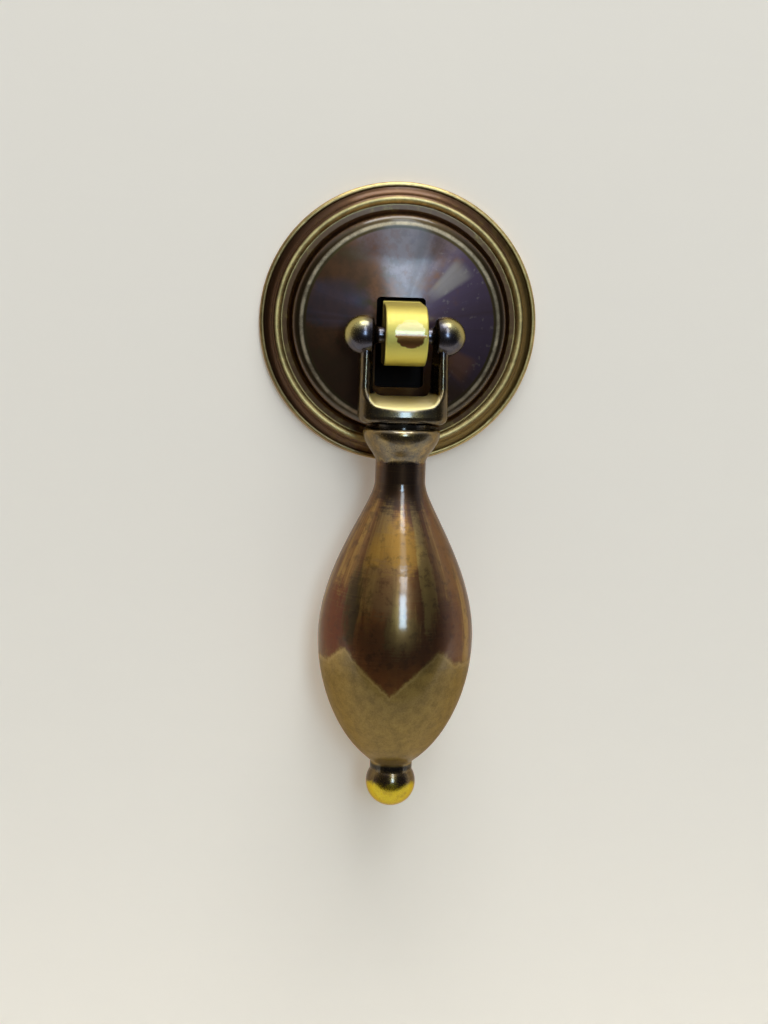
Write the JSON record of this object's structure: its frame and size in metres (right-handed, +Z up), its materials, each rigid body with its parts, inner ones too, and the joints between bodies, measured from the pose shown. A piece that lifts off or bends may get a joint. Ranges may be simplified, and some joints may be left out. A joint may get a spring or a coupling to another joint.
{
  "type": "drop pull",
  "caption": "Drawer pull with a round moulded rosette, a brass eye post through its slot, and a pear-shaped drop with a ball finial that swings on a crossbar.",
  "frame": {"origin": "centre of the rosette's back, on the drawer front and on the axis of the fixing screw", "axes": "+Z up with the drop hanging down, +Y into the drawer front, the pull facing -Y"},
  "size_m": [0.038, 0.0216, 0.084],
  "materials": {
    "dark_brass_rosette": "dark lacquered patina, rubbed to brass on the rim and the bead",
    "bright_brass": "polished brass",
    "dark_brass_drop": "glossy brown patina, rubbed to brass on the finial and the ball ends"
  },
  "bodies": {
    "mount": {"backplate": "dark_brass_rosette", "eye_post": "bright_brass"},
    "drop": {"drop": "dark_brass_drop"}
  },
  "joints": [
    {"name": "drop_swing", "type": "hinge", "parent": "mount", "child": "drop", "pos_m": [0, -0.0112, -0.0013], "axis": [-1, 0, 0], "range_deg": [0, 180]}
  ]
}
